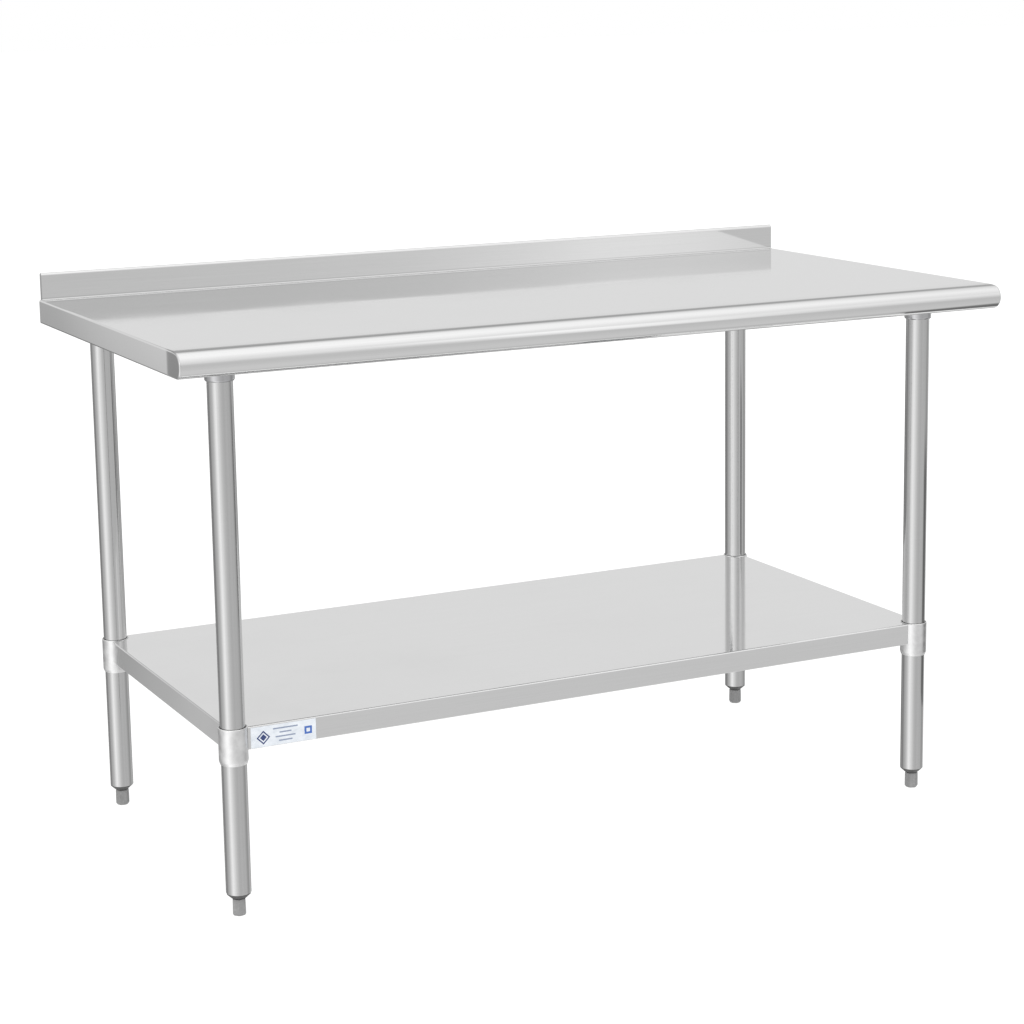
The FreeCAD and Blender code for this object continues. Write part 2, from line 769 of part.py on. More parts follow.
def label():
    """Thin sticker on the shelf's front flange, beside the front left bracket."""
    left, width, margin, thick = -LEG_X + COLLAR_OD / 2 + 2.0, 112.0, 1.0, 0.2
    return box(
        (left, SHELF_FRONT - thick, SHELF_BOTTOM + margin),
        (left + width, SHELF_FRONT, SHELF_TOP - 2.7),
    )


# --- the whole table ----------------------------------------------------------------------------


def table():
    """Every node's name and shape."""
    nodes = {
        "worktop": worktop(),
        "cross_channel_left": cross_channel(-1),
        "cross_channel_right": cross_channel(1),
        "deck_channel_front": deck_channel(-DECK_CHANNEL_OFFSET),
        "deck_channel_rear": deck_channel(DECK_CHANNEL_OFFSET),
        "damping_tape_left": cross_tape(-1),
        "damping_tape_right": cross_tape(1),
        "damping_tape_front": deck_tape(-DECK_CHANNEL_OFFSET),
        "damping_tape_rear": deck_tape(DECK_CHANNEL_OFFSET),
        "socket_bolts": at_every_bolt(socket_bolt()),
        "socket_nuts": at_every_bolt(socket_nut()),
        "socket_grub_screws": grub_screws(SOCKET_SCREW_Z, SOCKET_REACH),
        "undershelf": undershelf(),
        "shelf_channel": shelf_channel(),
        "shelf_damping_tape": shelf_tape(),
        "bracket_weld_studs": at_every_wing(wing_stud()),
        "bracket_nuts": at_every_wing(wing_nut()),
        "bracket_grub_screws": grub_screws(BRACKET_SCREW_Z, BRACKET_REACH),
        "shelf_label": label(),
    }
    tube = leg_tube()
    for name, (axis, hand_x, hand_y) in LEGS.items():
        turn = FOOT_TURN[name]
        nodes["leg_" + name] = moved(tube, axis)
        nodes["leg_socket_" + name] = moved(leg_socket(hand_x, hand_y), axis)
        nodes["shelf_bracket_" + name] = at_corner(corner_bracket(), axis, hand_x, hand_y)
        nodes["foot_insert_" + name] = moved(foot_insert(turn), axis)
        nodes["foot_stud_" + name] = moved(foot_stud(), axis)
        nodes["foot_" + name] = moved(foot(turn), axis)
    return nodes


def main():
    os.makedirs("parts", exist_ok=True)
    for name, shape in table().items():
        shape.exportStep(os.path.join("parts", name + ".step"))


main()
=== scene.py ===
"""Looks of the stainless work table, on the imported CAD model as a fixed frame. Metres, Z up."""

import json
import math

import bmesh
import bpy
from mathutils import Matrix, Vector

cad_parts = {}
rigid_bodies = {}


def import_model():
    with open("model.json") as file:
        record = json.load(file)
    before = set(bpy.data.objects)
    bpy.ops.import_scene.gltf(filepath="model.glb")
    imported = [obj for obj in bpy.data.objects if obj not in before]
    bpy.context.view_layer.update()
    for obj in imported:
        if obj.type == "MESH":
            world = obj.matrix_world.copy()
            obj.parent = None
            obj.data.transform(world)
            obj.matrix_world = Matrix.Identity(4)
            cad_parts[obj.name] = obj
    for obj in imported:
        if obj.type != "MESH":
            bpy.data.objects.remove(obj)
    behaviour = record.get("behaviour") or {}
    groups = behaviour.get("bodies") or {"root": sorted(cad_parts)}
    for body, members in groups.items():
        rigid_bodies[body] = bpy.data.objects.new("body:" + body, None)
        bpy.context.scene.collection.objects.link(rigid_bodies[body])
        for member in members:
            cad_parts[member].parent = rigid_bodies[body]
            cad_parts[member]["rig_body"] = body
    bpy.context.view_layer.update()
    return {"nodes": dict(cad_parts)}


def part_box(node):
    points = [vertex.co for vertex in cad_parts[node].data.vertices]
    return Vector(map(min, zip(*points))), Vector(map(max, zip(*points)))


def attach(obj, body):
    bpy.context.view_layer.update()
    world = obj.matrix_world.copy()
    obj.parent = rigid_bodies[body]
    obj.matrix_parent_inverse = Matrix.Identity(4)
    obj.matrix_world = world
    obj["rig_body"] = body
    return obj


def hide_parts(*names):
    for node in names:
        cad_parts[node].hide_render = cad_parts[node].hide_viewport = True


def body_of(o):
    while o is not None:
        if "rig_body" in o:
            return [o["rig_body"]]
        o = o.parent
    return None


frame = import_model()

CORNERS = ("front_left", "front_right", "rear_left", "rear_right")


# --- node graph helpers ---------------------------------------------------------------------------


class Graph:
    """A shader node tree that is written as nested calls. An input is a number, a tuple or a socket."""

    def __init__(self, tree):
        self.tree = tree
        self.tree.nodes.clear()

    def add(self, kind, inputs=None, **properties):
        node = self.tree.nodes.new("ShaderNode" + kind)
        for key, value in properties.items():
            setattr(node, key, value)
        for key, value in (inputs or {}).items():
            if isinstance(value, bpy.types.NodeSocket):
                self.tree.links.new(value, node.inputs[key])
            else:
                node.inputs[key].default_value = value
        return node

    def math(self, operation, a, b=0.0):
        return self.add("Math", {0: a, 1: b}, operation=operation).outputs[0]

    def vector(self, operation, a, b=(0.0, 0.0, 0.0)):
        return self.add("VectorMath", {0: a, 1: b}, operation=operation).outputs[0]

    def dot(self, a, b):
        return self.add("VectorMath", {0: a, 1: b}, operation="DOT_PRODUCT").outputs["Value"]

    def smooth(self, value, low, high, out_low=0.0, out_high=1.0):
        """Smooth step of a value between two limits."""
        inputs = {
            "Value": value, "From Min": low, "From Max": high, "To Min": out_low, "To Max": out_high
        }
        return self.add("MapRange", inputs, interpolation_type="SMOOTHSTEP").outputs["Result"]

    def noise(self, vector, scale, detail=3.0, roughness=0.55):
        inputs = {"Vector": vector, "Scale": scale, "Detail": detail, "Roughness": roughness}
        return self.add("TexNoise", inputs).outputs["Fac"]

    def ramp(self, factor, stops):
        """Colour ramp through (position, grey or colour) stops."""
        node = self.add("ValToRGB", {"Fac": factor})
        elements = node.color_ramp.elements
        while len(elements) < len(stops):
            elements.new(1.0)
        for element, (position, shade) in zip(elements, stops):
            element.position = position
            colour = (shade, shade, shade) if isinstance(shade, (int, float)) else shade
            element.color = (*colour, 1.0)
        return node.outputs["Color"]

    def mix(self, factor, a, b):
        """Colour between two colours."""
        inputs = {"Factor": factor, "A": a, "B": b}
        node = self.add("Mix", data_type="RGBA")
        for key, value in inputs.items():
            socket = [s for s in node.inputs if s.name == key and s.enabled][0]
            if isinstance(value, bpy.types.NodeSocket):
                self.tree.links.new(value, socket)
            else:
                socket.default_value = value
        return [s for s in node.outputs if s.enabled][0]

    def bump(self, height, distance, strength=1.0, normal=None):
        inputs = {"Height": height, "Distance": distance, "Strength": strength}
        if normal is not None:
            inputs["Normal"] = normal
        return self.add("Bump", inputs).outputs["Normal"]


def new_material(name):
    material = bpy.data.materials.new(name)
    material.use_nodes = True
    return material, Graph(material.node_tree)


def surface(graph, **inputs):
    """Principled shader as the material's surface. Underscores in a name stand for spaces."""
    named = {key.replace("_", " "): value for key, value in inputs.items()}
    shader = graph.add("BsdfPrincipled", named)
    graph.add("OutputMaterial", {"Surface": shader.outputs["BSDF"]})


def place(graph):
    """Position in the table's frame, in metres."""
    return graph.add("TexCoord").outputs["Object"]


def tinted(shade, factor):
    """A colour made darker or paler, but no brighter than white."""
    return tuple(min(1.0, channel * factor) for channel in shade)


# --- metals ---------------------------------------------------------------------------------------

FLANGE_RISE = 0.017  # how much the end flanges are shaded as if they faced upwards
FLANGE_FRONT, FLANGE_REAR = -0.35, 0.42  # depths between which the end flanges turn to the rear
FOLD_Y, FOLD_Z = 0.371, 0.940  # where the deck meets the upstand
FOLD_SIZE = 0.0045
FOLD_MARGIN = 0.0005
UPSTAND_BOTTOM = 0.942
ROLL_Y = -0.345  # where the front roll begins
CROWN_Y = -0.310  # where the deck begins to fall towards the roll
SLANT_BEGINS = (0.10, 0.25)  # sideways part of the normal at which a corner counts as slanting
SLANT_ENDS = (0.99, 0.93)  # and at which it counts as an end face
PAINTED_SHADE_TONE = 0.84  # tone of the painted shade in the fold below the upstand and on the roll's end corners, against the rest of the sheet


def grain_frame(graph):
    """Position along and across the sheet's grain, and the direction across it.

    The grain runs along X, and where the sheet is folded down at an end it runs down the flange.
    """
    position = graph.add("SeparateXYZ", {0: place(graph)}).outputs
    normal = graph.add("SeparateXYZ", {0: graph.add("NewGeometry").outputs["True Normal"]}).outputs
    at_end = graph.math("GREATER_THAN", graph.math("ABSOLUTE", normal["X"]), 0.7)
    along = graph.add("Mix", {0: at_end, 2: position["X"], 3: position["Z"]}).outputs[0]
    across = graph.add("Mix", {0: at_end, 2: position["Z"], 3: position["X"]}).outputs[0]
    grain = graph.add("CombineXYZ", {0: along, 1: position["Y"], 2: across}).outputs[0]
    level = graph.math("SUBTRACT", 1.0, at_end)
    direction = graph.add("CombineXYZ", {0: level, 2: at_end}).outputs[0]
    return grain, direction, at_end


def stretched(graph, vector, along, across):
    return graph.vector("MULTIPLY", vector, (along, across, across))


def pressed(graph, normal, at_end, bow, crown, lean):
    """Shading normal of a sheet, as if its folds were not quite square. The mesh stays square.

    The end flanges are shaded as if they faced a little upwards and turned towards the rear, the
    deck as if it fell slightly just behind the front roll, and the upstand as if it leaned forward.
    """
    position = graph.add("SeparateXYZ", {0: place(graph)}).outputs
    depth, height = position["Y"], position["Z"]
    turning = graph.smooth(depth, FLANGE_FRONT, FLANGE_REAR, 0.0, bow)
    flange = graph.math("MULTIPLY", turning, at_end)
    deck = graph.smooth(depth, CROWN_Y, ROLL_Y, 0.0, -crown)
    above_deck = graph.math("GREATER_THAN", height, UPSTAND_BOTTOM)
    upstand = graph.math("MULTIPLY", above_deck, -lean)
    upwards = graph.math("MULTIPLY", at_end, FLANGE_RISE)
    sideways = graph.math("ADD", flange, deck)
    turned = graph.add("CombineXYZ", {1: sideways, 2: graph.math("ADD", upstand, upwards)}).outputs[0]
    return graph.vector("NORMALIZE", graph.vector("ADD", normal, turned))


def painted_shade_places(graph):
    """1 in the fold below the upstand and on the roll's end corners, where the sheet's colour is
    darkened as painted shade.
    """
    position = graph.add("SeparateXYZ", {0: place(graph)}).outputs
    facing = graph.add("SeparateXYZ", {0: graph.add("NewGeometry").outputs["Normal"]}).outputs["X"]
    outwards = graph.math("ABSOLUTE", facing)
    slanting = graph.math(
        "MULTIPLY", graph.smooth(outwards, *SLANT_BEGINS), graph.smooth(outwards, *SLANT_ENDS)
    )
    corner = graph.math("MULTIPLY", slanting, graph.math("LESS_THAN", position["Y"], ROLL_Y))
    far = graph.smooth(position["Y"], FOLD_Y - FOLD_SIZE, FOLD_Y - FOLD_SIZE * 0.8)
    low = graph.smooth(position["Z"], FOLD_Z + FOLD_SIZE, FOLD_Z + FOLD_SIZE * 0.8)
    above = graph.math("GREATER_THAN", position["Z"], FOLD_Z - FOLD_MARGIN)
    fold = graph.math("MULTIPLY", graph.math("MULTIPLY", far, low), above)
    return graph.math("MAXIMUM", fold, corner)


def brushed_sheet(name, shade, roughness, anisotropy, bow, crown, lean):
    """Satin stainless sheet: fine lines along the grain, a slow waviness, and faint wiped smears."""
    material, graph = new_material(name)
    grain, grain_direction, at_end = grain_frame(graph)
    fine = graph.noise(stretched(graph, grain, 9.0, 2600.0), 1.0, 2.0)
    medium = graph.noise(stretched(graph, grain, 3.0, 420.0), 1.0, 3.0)
    smears = graph.noise(place(graph), 4.0, 4.0, 0.6)
    scratch = graph.noise(stretched(graph, grain, 22.0, 900.0), 1.0, 1.0)
    scratches = graph.smooth(scratch, 0.70, 0.76)
    lines = graph.math("ADD", graph.math("MULTIPLY", fine, 0.6), graph.math("MULTIPLY", medium, 0.4))
    colour = graph.ramp(
        graph.smooth(lines, 0.3, 0.7),
        [(0.0, tinted(shade, 0.975)), (1.0, tinted(shade, 1.02))],
    )
    # Painted shade: the sheet's colour is darkened in the fold below the upstand and on the roll's end
    # corners.
    colour = graph.mix(painted_shade_places(graph), colour, (*tinted(shade, PAINTED_SHADE_TONE), 1.0))
    satin = graph.math(
        "ADD",
        graph.smooth(lines, 0.3, 0.7, roughness - 0.015, roughness + 0.02),
        graph.smooth(smears, 0.35, 0.75, -0.015, 0.03),
    )
    rough = graph.math("ADD", satin, graph.math("MULTIPLY", scratches, 0.05))
    waves = graph.noise(graph.vector("MULTIPLY", place(graph), (1.6, 2.5, 2.5)), 1.0, 1.0)
    wavy = graph.bump(waves, 0.0010)
    grained = graph.bump(lines, 0.0000015, 0.5, wavy)
    surface(
        graph,
        Base_Color=colour,
        Metallic=1.0,
        Roughness=rough,
        Anisotropic=anisotropy,
        Anisotropic_Rotation=0.25,
        Tangent=grain_direction,
        Normal=pressed(graph, grained, at_end, bow, crown, lean),
    )
    return material


def polished_tube(name, shade, roughness):
    """Polished tube: fine rings round it, long draw marks down it and a few small scuffs."""
    material, graph = new_material(name)
    position = place(graph)
    rings = graph.noise(graph.vector("MULTIPLY", position, (60.0, 60.0, 2400.0)), 1.0, 2.0)
    draw = graph.noise(graph.vector("MULTIPLY", position, (300.0, 300.0, 2.0)), 1.0, 2.0)
    patches = graph.noise(position, 9.0, 3.0)
    marks = graph.noise(graph.vector("MULTIPLY", position, (90.0, 90.0, 30.0)), 1.0, 5.0)
    scuffs = graph.smooth(marks, 0.68, 0.74)
    tone = graph.math("ADD", graph.math("MULTIPLY", rings, 0.5), graph.math("MULTIPLY", draw, 0.5))
    colour = graph.ramp(
        graph.smooth(tone, 0.3, 0.7),
        [(0.0, tinted(shade, 0.97)), (1.0, tinted(shade, 1.02))],
    )
    clean = graph.smooth(patches, 0.3, 0.7, roughness - 0.015, roughness + 0.02)
    surface(
        graph,
        Base_Color=colour,
        Metallic=1.0,
        Roughness=graph.math("ADD", clean, graph.math("MULTIPLY", scuffs, 0.08)),
        Normal=graph.bump(tone, 0.000004, 0.5),
    )
    return material


def cast_metal(name, shade, roughness):
    """Tumbled casting: soft pebbling, cloudy tone and a few tiny pits."""
    material, graph = new_material(name)
    position = place(graph)
    pebbles = graph.noise(position, 900.0, 3.0)
    clouds = graph.noise(position, 70.0, 4.0)
    pits = graph.smooth(graph.noise(position, 1500.0, 1.0), 0.30, 0.24)
    colour = graph.ramp(
        graph.smooth(clouds, 0.3, 0.7),
        [(0.0, tinted(shade, 0.92)), (1.0, tinted(shade, 1.05))],
    )
    height = graph.math("SUBTRACT", pebbles, graph.math("MULTIPLY", pits, 0.8))
    surface(
        graph,
        Base_Color=colour,
        Metallic=1.0,
        Roughness=graph.smooth(clouds, 0.25, 0.75, roughness - 0.06, roughness + 0.08),
        Normal=graph.bump(height, 0.00012, 0.5),
    )
    return material


def galvanised(name):
    """Zinc-coated sheet with a spangle of pale and dark crystals."""
    material, graph = new_material(name)
    position = place(graph)
    cells = graph.add("TexVoronoi", {"Vector": position, "Scale": 90.0}).outputs["Color"]
    crystal = graph.add("SeparateXYZ", {0: cells}).outputs["X"]
    haze = graph.noise(position, 25.0, 4.0)
    tone = graph.math("ADD", graph.math("MULTIPLY", crystal, 0.6), graph.math("MULTIPLY", haze, 0.4))
    surface(
        graph,
        Base_Color=graph.ramp(tone, [(0.2, (0.42, 0.44, 0.46)), (0.8, (0.62, 0.63, 0.64))]),
        Metallic=1.0,
        Roughness=graph.smooth(tone, 0.2, 0.8, 0.34, 0.5),
        Normal=graph.bump(haze, 0.0001, 0.4),
    )
    return material


def plated_fastener(name, shade):
    """Zinc-plated steel with fine turning marks and dulled patches."""
    material, graph = new_material(name)
    position = place(graph)
    marks = graph.noise(graph.vector("MULTIPLY", position, (300.0, 300.0, 3000.0)), 1.0, 2.0)
    patches = graph.noise(position, 160.0, 3.0)
    surface(
        graph,
        Base_Color=graph.ramp(patches, [(0.3, tinted(shade, 0.85)), (0.7, shade)]),
        Metallic=1.0,
        Roughness=graph.smooth(patches, 0.3, 0.7, 0.24, 0.4),
        Normal=graph.bump(marks, 0.00003, 0.5),
    )
    return material


# --- plastics and tape ----------------------------------------------------------------------------


def moulded_plastic(name, shade, roughness):
    """Grey moulded nylon with a fine spark texture, faint flow marks and rubbed pale patches."""
    material, graph = new_material(name)
    position = place(graph)
    texture = graph.noise(position, 2200.0, 2.0)
    flow = graph.noise(graph.vector("MULTIPLY", position, (120.0, 120.0, 30.0)), 1.0, 3.0)
    rubbed = graph.smooth(graph.noise(position, 260.0, 4.0), 0.52, 0.7)
    base = graph.ramp(
        graph.smooth(flow, 0.3, 0.7),
        [(0.0, tinted(shade, 0.88)), (1.0, tinted(shade, 1.08))],
    )
    worn = graph.mix(graph.math("MULTIPLY", rubbed, 0.35), base, (*tinted(shade, 1.5), 1.0))
    surface(
        graph,
        Base_Color=worn,
        Roughness=graph.smooth(texture, 0.3, 0.7, roughness - 0.06, roughness + 0.08),
        Normal=graph.bump(texture, 0.00005, 0.5),
    )
    return material


def foam_tape(name):
    """Dark butyl tape with a matt skin and small bubbles."""
    material, graph = new_material(name)
    bubbles = graph.noise(place(graph), 700.0, 4.0)
    surface(
        graph,
        Base_Color=graph.ramp(bubbles, [(0.3, (0.012, 0.012, 0.013)), (0.7, (0.04, 0.04, 0.042))]),
        Roughness=graph.smooth(bubbles, 0.3, 0.7, 0.6, 0.85),
        Normal=graph.bump(bubbles, 0.0002, 0.6),
    )
    return material


def sticker_film(name, low, high):
    """Silvery white film with a dark lozenge in a ring, pale bars and a small blue square."""
    material, graph = new_material(name)
    position = graph.add("SeparateXYZ", {0: place(graph)}).outputs
    width, height = high.x - low.x, high.z - low.z
    aspect = width / height
    u = graph.math("DIVIDE", graph.math("SUBTRACT", position["X"], low.x), height)
    v = graph.math("DIVIDE", graph.math("SUBTRACT", position["Z"], low.z), height)

    def distance(value, middle):
        return graph.math("ABSOLUTE", graph.math("SUBTRACT", value, middle))

    def block(middle_u, middle_v, half_u, half_v):
        inside_u = graph.math("LESS_THAN", distance(u, middle_u), half_u)
        inside_v = graph.math("LESS_THAN", distance(v, middle_v), half_v)
        return graph.math("MULTIPLY", inside_u, inside_v)

    def lozenge(middle_u, middle_v, reach):
        span = graph.math("ADD", distance(u, middle_u), distance(v, middle_v))
        return graph.math("LESS_THAN", span, reach)

    sheen = graph.noise(graph.vector("MULTIPLY", place(graph), (60.0, 60.0, 90.0)), 1.0, 3.0)
    film = graph.ramp(sheen, [(0.3, (0.60, 0.64, 0.69)), (0.7, (0.72, 0.75, 0.79))])
    navy, ink, blue = (0.025, 0.045, 0.15, 1.0), (0.24, 0.28, 0.38, 1.0), (0.05, 0.13, 0.42, 1.0)
    colour = graph.mix(lozenge(0.19 * aspect, 0.45, 0.34), film, navy)
    colour = graph.mix(lozenge(0.19 * aspect, 0.45, 0.25), colour, film)
    colour = graph.mix(lozenge(0.19 * aspect, 0.45, 0.17), colour, navy)
    for middle_v, half_u in ((0.80, 0.62), (0.60, 0.30), (0.40, 0.50), (0.20, 0.34)):
        colour = graph.mix(block(0.53 * aspect, middle_v, half_u, 0.035), colour, ink)
    colour = graph.mix(block(0.88 * aspect, 0.50, 0.19, 0.19), colour, blue)
    colour = graph.mix(block(0.88 * aspect, 0.50, 0.09, 0.09), colour, film)
    surface(
        graph,
        Base_Color=colour,
        Roughness=graph.smooth(sheen, 0.3, 0.7, 0.25, 0.4),
        Coat_Weight=0.4,
        Coat_Roughness=0.12,
        Normal=graph.bump(sheen, 0.0002, 0.3),
    )
    return material


# --- threads of the adjustable feet ---------------------------------------------------------------

THREAD_PITCH = 0.00175
THREAD_DEPTH = 0.00095
THREAD_CHAMFER = 0.0012
ROWS_PER_PITCH = 6
THREAD_SIDES = 24


def threaded_rod(name, low, high):
    """Upright rod that fills its box, with a right-hand thread and a chamfered top."""
    middle, radius = (low + high) / 2, (high.x - low.x) / 2
    rows = round((high.z - low.z) / THREAD_PITCH * ROWS_PER_PITCH)
    builder = bmesh.new()
    rings = []
    for row in range(rows + 1):
        height = low.z + (high.z - low.z) * row / rows
        widest = min(radius, radius - THREAD_CHAMFER + high.z - height)
        ring = []
        for side in range(THREAD_SIDES):
            turn = side / THREAD_SIDES
            phase = (height / THREAD_PITCH - turn) % 1.0
            reach = min(widest, radius - THREAD_DEPTH * abs(2 * phase - 1))
            angle = 2 * math.pi * turn
            sideways = Vector((math.cos(angle), math.sin(angle), 0.0)) * reach
            ring.append(builder.verts.new((middle.x + sideways.x, middle.y + sideways.y, height)))
        rings.append(ring)
    for lower, upper in zip(rings, rings[1:]):
        for side in range(THREAD_SIDES):
            after = (side + 1) % THREAD_SIDES
            builder.faces.new((lower[side], lower[after], upper[after], upper[side])).smooth = True
    builder.faces.new(reversed(rings[0]))
    builder.faces.new(rings[-1])
    mesh = bpy.data.meshes.new(name)
    builder.to_mesh(mesh)
    builder.free()
    rod = bpy.data.objects.new(name, mesh)
    bpy.context.scene.collection.objects.link(rod)
    return rod


def thread_the_studs(material):
    """Real threads in place of the plain studs of the feet."""
    for corner in CORNERS:
        stud = "foot_stud_" + corner
        thread = threaded_rod("foot_thread_" + corner, *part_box(stud))
        thread.data.materials.append(material)
        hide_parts(stud)
        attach(thread, body_of(frame["nodes"][stud])[0])


# --- materials on the CAD nodes -------------------------------------------------------------------


def dress(material, *names):
    for name in names:
        slots = frame["nodes"][name].data.materials
        slots.clear()
        slots.append(material)


def dress_all():
    grey = (0.80, 0.80, 0.80)
    dress(brushed_sheet("worktop_sheet", grey, 0.055, 0.6, 0.03, 0.08, 0.045), "worktop")
    dress(brushed_sheet("shelf_sheet", (0.83, 0.83, 0.83), 0.07, 0.6, 0.03, 0.0, 0.0), "undershelf")
    zinc = galvanised("galvanised_sheet")
    dress(zinc, "cross_channel_left", "cross_channel_right", "shelf_channel")
    dress(zinc, "deck_channel_front", "deck_channel_rear")
    tape = foam_tape("damping_tape")
    dress(tape, *["damping_tape_" + side for side in ("left", "right", "front", "rear")])
    dress(tape, "shelf_damping_tape")
    tube = polished_tube("leg_tube", (0.65, 0.65, 0.65), 0.10)
    socket = polished_tube("plated_socket", (0.56, 0.56, 0.57), 0.05)
    casting = cast_metal("cast_aluminium", (0.90, 0.90, 0.90), 0.36)
    nylon = moulded_plastic("foot_nylon", (0.25, 0.25, 0.25), 0.5)
    plug = moulded_plastic("insert_nylon", (0.075, 0.075, 0.075), 0.4)
    steel = plated_fastener("plated_steel", (0.62, 0.62, 0.63))
    for corner in CORNERS:
        dress(tube, "leg_" + corner)
        dress(socket, "leg_socket_" + corner)
        dress(casting, "shelf_bracket_" + corner)
        dress(nylon, "foot_" + corner)
        dress(plug, "foot_insert_" + corner)
    for name in ("socket_bolts", "socket_nuts", "socket_grub_screws"):
        dress(steel, name)
    for name in ("bracket_weld_studs", "bracket_nuts", "bracket_grub_screws"):
        dress(steel, name)
    thread_the_studs(steel)
    dress(sticker_film("sticker_film", *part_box("shelf_label")), "shelf_label")


# --- studio ---------------------------------------------------------------------------------------

CAMERA_PLACE = Vector((-1.9127, -3.8328, 1.4706))
CAMERA_YAW = math.radians(-26.28)
CAMERA_PITCH = math.radians(-10.29)
CAMERA_ROLL = math.radians(-0.91)
SENSOR = 36.0
FOCAL_LENGTH = 85.6
SHIFT_DOWN = 0.080

LEVEL_VIEW = Vector((-math.sin(CAMERA_YAW), math.cos(CAMERA_YAW), 0.0))


def add_camera():
    forward = LEVEL_VIEW * math.cos(CAMERA_PITCH) + Vector((0, 0, math.sin(CAMERA_PITCH)))
    level_right = Vector((math.cos(CAMERA_YAW), math.sin(CAMERA_YAW), 0.0))
    level_up = level_right.cross(forward)
    right = level_right * math.cos(CAMERA_ROLL) + level_up * math.sin(CAMERA_ROLL)
    up = level_up * math.cos(CAMERA_ROLL) - level_right * math.sin(CAMERA_ROLL)
    data = bpy.data.cameras.new("camera")
    data.sensor_width = SENSOR
    data.lens = FOCAL_LENGTH
    data.shift_y = -SHIFT_DOWN
    data.clip_end = 100.0
    camera = bpy.data.objects.new("camera", data)
    rotation = Matrix((right, up, -forward)).transposed().to_4x4()
    camera.matrix_world = Matrix.Translation(CAMERA_PLACE) @ rotation
    bpy.context.scene.collection.objects.link(camera)
    bpy.context.scene.camera = camera


def angle_ramp(graph, factor, stops, place_of):
    """Brightness against an angle, from (degrees, brightness) stops; place_of gives a ramp place."""
    brightest = max(brightness for _, brightness in stops)
    placed = [(place_of(angle), brightness / brightest) for angle, brightness in stops]
    return graph.math("MULTIPLY", graph.ramp(factor, placed), brightest)


def height_place(angle):
    return (math.sin(math.radians(angle)) + 1) / 2


def compass_place(angle):
    return (angle + 180) / 360


# Brightness of the room against elevation, in front of the table and behind it.
ROOM_IN_FRONT = [
    (-90, 0.70), (-45, 0.70), (-28, 0.65), (-10, 0.62), (0, 0.62), (5, 0.60), (10, 0.68), (16, 0.76),
    (24, 0.82), (31, 0.91), (39, 0.98), (47, 1.05), (55, 1.10), (64, 1.14),
]
ROOM_BEHIND = [
    (-90, 0.70), (-61, 0.57), (-54, 0.50), (-30, 0.37), (-10, 0.25), (-4, 0.50), (0, 0.77),
    (9, 0.79), (18, 0.80), (21, 0.42), (30, 0.40), (40, 0.73), (53, 0.96), (61, 1.08), (75, 1.14),
]
# How much brighter the lower half of the room is at each bearing. The bearing is 0 on the side that
# the table is first seen from, and negative to the left of it. Bright strips stand at the front left
# and at both rear corners, so that the legs reflect them as light stripes.
ROUND_THE_ROOM = [
    (-180, 0.7), (-150, 0.7), (-142, 1.05), (-138, 1.6), (-134, 2.05), (-131, 1.0), (-122, 0.75),
    (-112, 0.80), (-100, 0.88), (-88, 0.94), (-75, 1.06), (-65, 1.26), (-51, 1.74), (-38, 2.0),
    (-28, 1.81), (-8, 1.42), (10, 1.10), (30, 0.98), (50, 1.02), (82, 0.97), (97, 0.85), (107, 0.85),
    (117, 1.10), (135, 2.1), (148, 2.2), (160, 1.0), (180, 0.7),
]
# Extra brightness of a broad panel at the front right, against the same bearing.
SIDE_PANEL = [
    (-180, 0.0), (40, 0.0), (47, 0.05), (51, 0.11), (55, 0.34), (57, 0.34), (60, 0.16), (80, 0.10),
    (110, 0.0), (180, 0.0),
]


def add_studio_world():
    """Soft overhead light and a room whose brightness varies with bearing near the horizon."""
    world = bpy.data.worlds.new("studio")
    world.use_nodes = True
    bpy.context.scene.world = world
    graph = Graph(world.node_tree)
    direction = graph.add("TexCoord").outputs["Generated"]
    rise = graph.add("SeparateXYZ", {0: direction}).outputs["Z"]
    height = graph.math("MULTIPLY", graph.math("ADD", rise, 1.0), 0.5)
    level = graph.vector("NORMALIZE", graph.vector("MULTIPLY", direction, (1.0, 1.0, 0.0)))
    right = Vector((math.cos(CAMERA_YAW), math.sin(CAMERA_YAW), 0.0))
    towards = graph.dot(level, -LEVEL_VIEW)
    bearing = graph.math("ARCTAN2", graph.dot(level, right), towards)
    compass = graph.math("ADD", graph.math("DIVIDE", bearing, 2 * math.pi), 0.5)
    behind = graph.smooth(towards, 0.05, -0.72)
    front_room = angle_ramp(graph, height, ROOM_IN_FRONT, height_place)
    back_room = angle_ramp(graph, height, ROOM_BEHIND, height_place)
    room = graph.add("Mix", {0: behind, 2: front_room, 3: back_room}).outputs[0]
    low_in_front = graph.smooth(height, height_place(42.0), height_place(16.0))
    low_behind = graph.smooth(height, height_place(0.0), height_place(-6.0))
    low = graph.add("Mix", {0: behind, 2: low_in_front, 3: low_behind}).outputs[0]
    round_room = angle_ramp(graph, compass, ROUND_THE_ROOM, compass_place)
    gain = graph.add("Mix", {0: low, 2: 1.0, 3: round_room}).outputs[0]
    off_panel = graph.math("ABSOLUTE", graph.math("SUBTRACT", height, height_place(14.0)))
    panel = graph.math(
        "MULTIPLY",
        angle_ramp(graph, compass, SIDE_PANEL, compass_place),
        graph.smooth(off_panel, 0.15, 0.07),
    )
    inputs = {0: room, 1: gain, 2: panel}
    light = graph.add("Math", inputs, operation="MULTIPLY_ADD").outputs[0]
    seen = graph.add("LightPath").outputs["Is Camera Ray"]
    strength = graph.add("Mix", {0: seen, 2: light, 3: 1.0}).outputs[0]
    background = graph.add("Background", {"Color": (1.0, 1.0, 1.0, 1.0), "Strength": strength})
    graph.add("OutputWorld", {"Surface": background.outputs[0]})


FLOOR_REACH = 60.0
FLOOR_DROP = 0.0005  # just clear of the soles, which stand at zero height


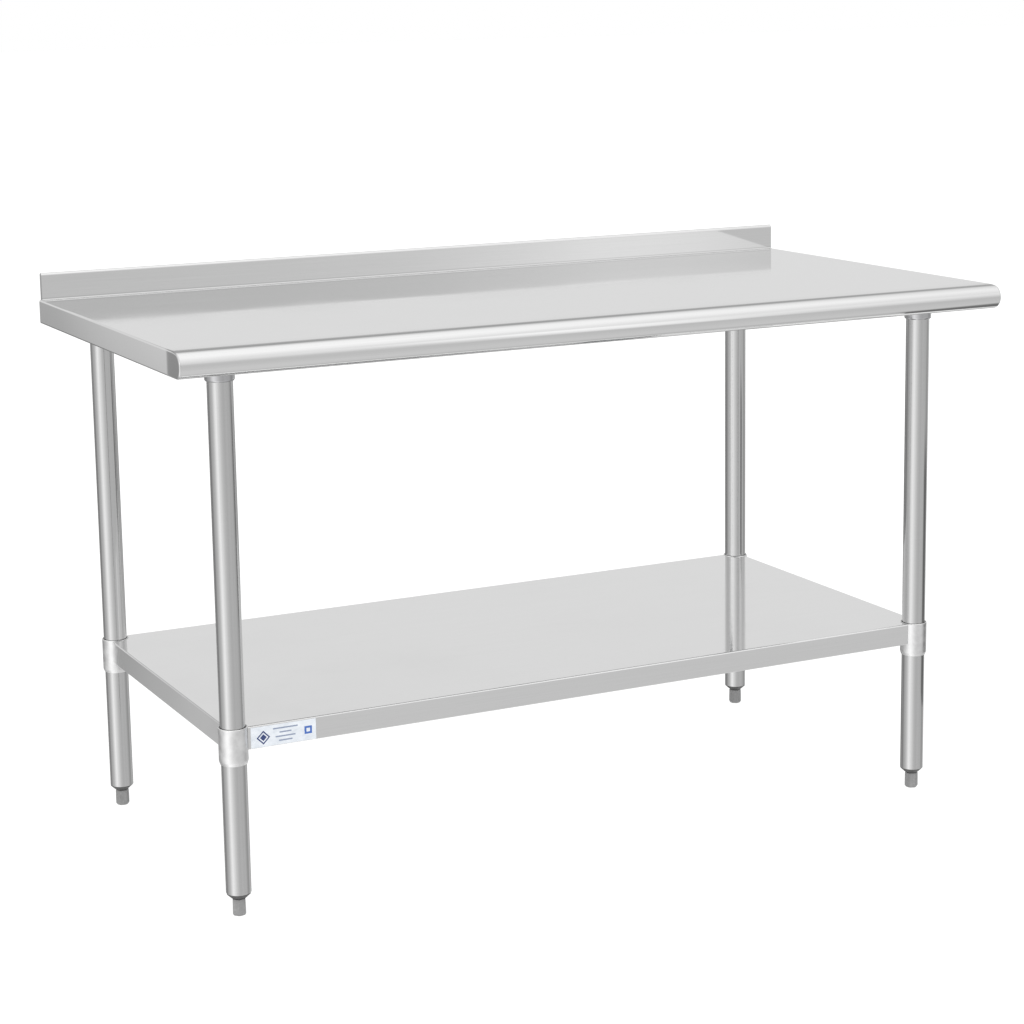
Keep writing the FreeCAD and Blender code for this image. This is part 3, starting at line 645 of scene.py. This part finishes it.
def add_floor():
    """Plain pale floor, which glows a little so that it stays even."""
    mesh = bpy.data.meshes.new("floor")
    corners = ((-1, -1), (1, -1), (1, 1), (-1, 1))
    points = [(x * FLOOR_REACH, y * FLOOR_REACH, -FLOOR_DROP) for x, y in corners]
    mesh.from_pydata(points, [], [(0, 1, 2, 3)])
    floor = bpy.data.objects.new("floor", mesh)
    bpy.context.scene.collection.objects.link(floor)
    material, graph = new_material("pale_floor")
    surface(
        graph,
        Base_Color=(0.16, 0.16, 0.16, 1.0),
        Roughness=0.9,
        Emission_Color=(1.0, 1.0, 1.0, 1.0),
        Emission_Strength=0.95,
    )
    mesh.materials.append(material)
    floor.visible_glossy = False


CURTAIN_X = 1.2
CURTAIN_FRONT, CURTAIN_REAR = -0.75, -0.12
CURTAIN_TOP = 0.60


def add_side_curtain():
    """Dim curtain with soft edges close to the right end, which only reflections show."""
    front, rear, top = CURTAIN_FRONT, CURTAIN_REAR, CURTAIN_TOP
    mesh = bpy.data.meshes.new("side_curtain")
    corners = [(front, 0.0), (rear, 0.0), (rear, top), (front, top)]
    mesh.from_pydata([(CURTAIN_X, y, z) for y, z in corners], [], [(0, 1, 2, 3)])
    curtain = bpy.data.objects.new("side_curtain", mesh)
    bpy.context.scene.collection.objects.link(curtain)
    material, graph = new_material("dim_curtain")
    position = graph.add("SeparateXYZ", {0: place(graph)}).outputs
    from_rear = graph.smooth(position["Y"], rear, rear - 0.12)
    from_front = graph.smooth(position["Y"], front, front + 0.25)
    from_top = graph.smooth(position["Z"], top, top - 0.14)
    cover = graph.math("MULTIPLY", graph.math("MULTIPLY", from_rear, from_front), from_top)
    glow = graph.smooth(position["Y"], -0.5, front, 0.18, 0.38)
    emission = graph.add("Emission", {"Strength": glow})
    clear = graph.add("BsdfTransparent")
    mixed = graph.add("MixShader", {0: cover, 1: clear.outputs[0], 2: emission.outputs[0]})
    graph.add("OutputMaterial", {"Surface": mixed.outputs[0]})
    mesh.materials.append(material)
    curtain.visible_camera = False
    curtain.visible_diffuse = False
    curtain.visible_shadow = False


KEY_PLACE = Vector((-1.8, -2.4, 3.2))
KEY_TARGET = Vector((0.0, 0.0, 0.5))
KEY_WIDTH, KEY_LENGTH = 2.4, 1.8
KEY_POWER = 60.0


def add_key_light():
    """Broad soft light from the upper front left, which reflections don't show."""
    data = bpy.data.lights.new("soft_key", "AREA")
    data.shape = "RECTANGLE"
    data.size = KEY_WIDTH
    data.size_y = KEY_LENGTH
    data.energy = KEY_POWER
    light = bpy.data.objects.new("soft_key", data)
    aim = (KEY_TARGET - KEY_PLACE).to_track_quat("-Z", "Y")
    light.matrix_world = Matrix.Translation(KEY_PLACE) @ aim.to_matrix().to_4x4()
    light.visible_glossy = False
    bpy.context.scene.collection.objects.link(light)


# --- build ----------------------------------------------------------------------------------------


def main():
    bpy.context.scene.view_settings.view_transform = "Standard"
    dress_all()
    add_camera()
    add_studio_world()
    add_floor()
    add_side_curtain()
    add_key_light()


main()
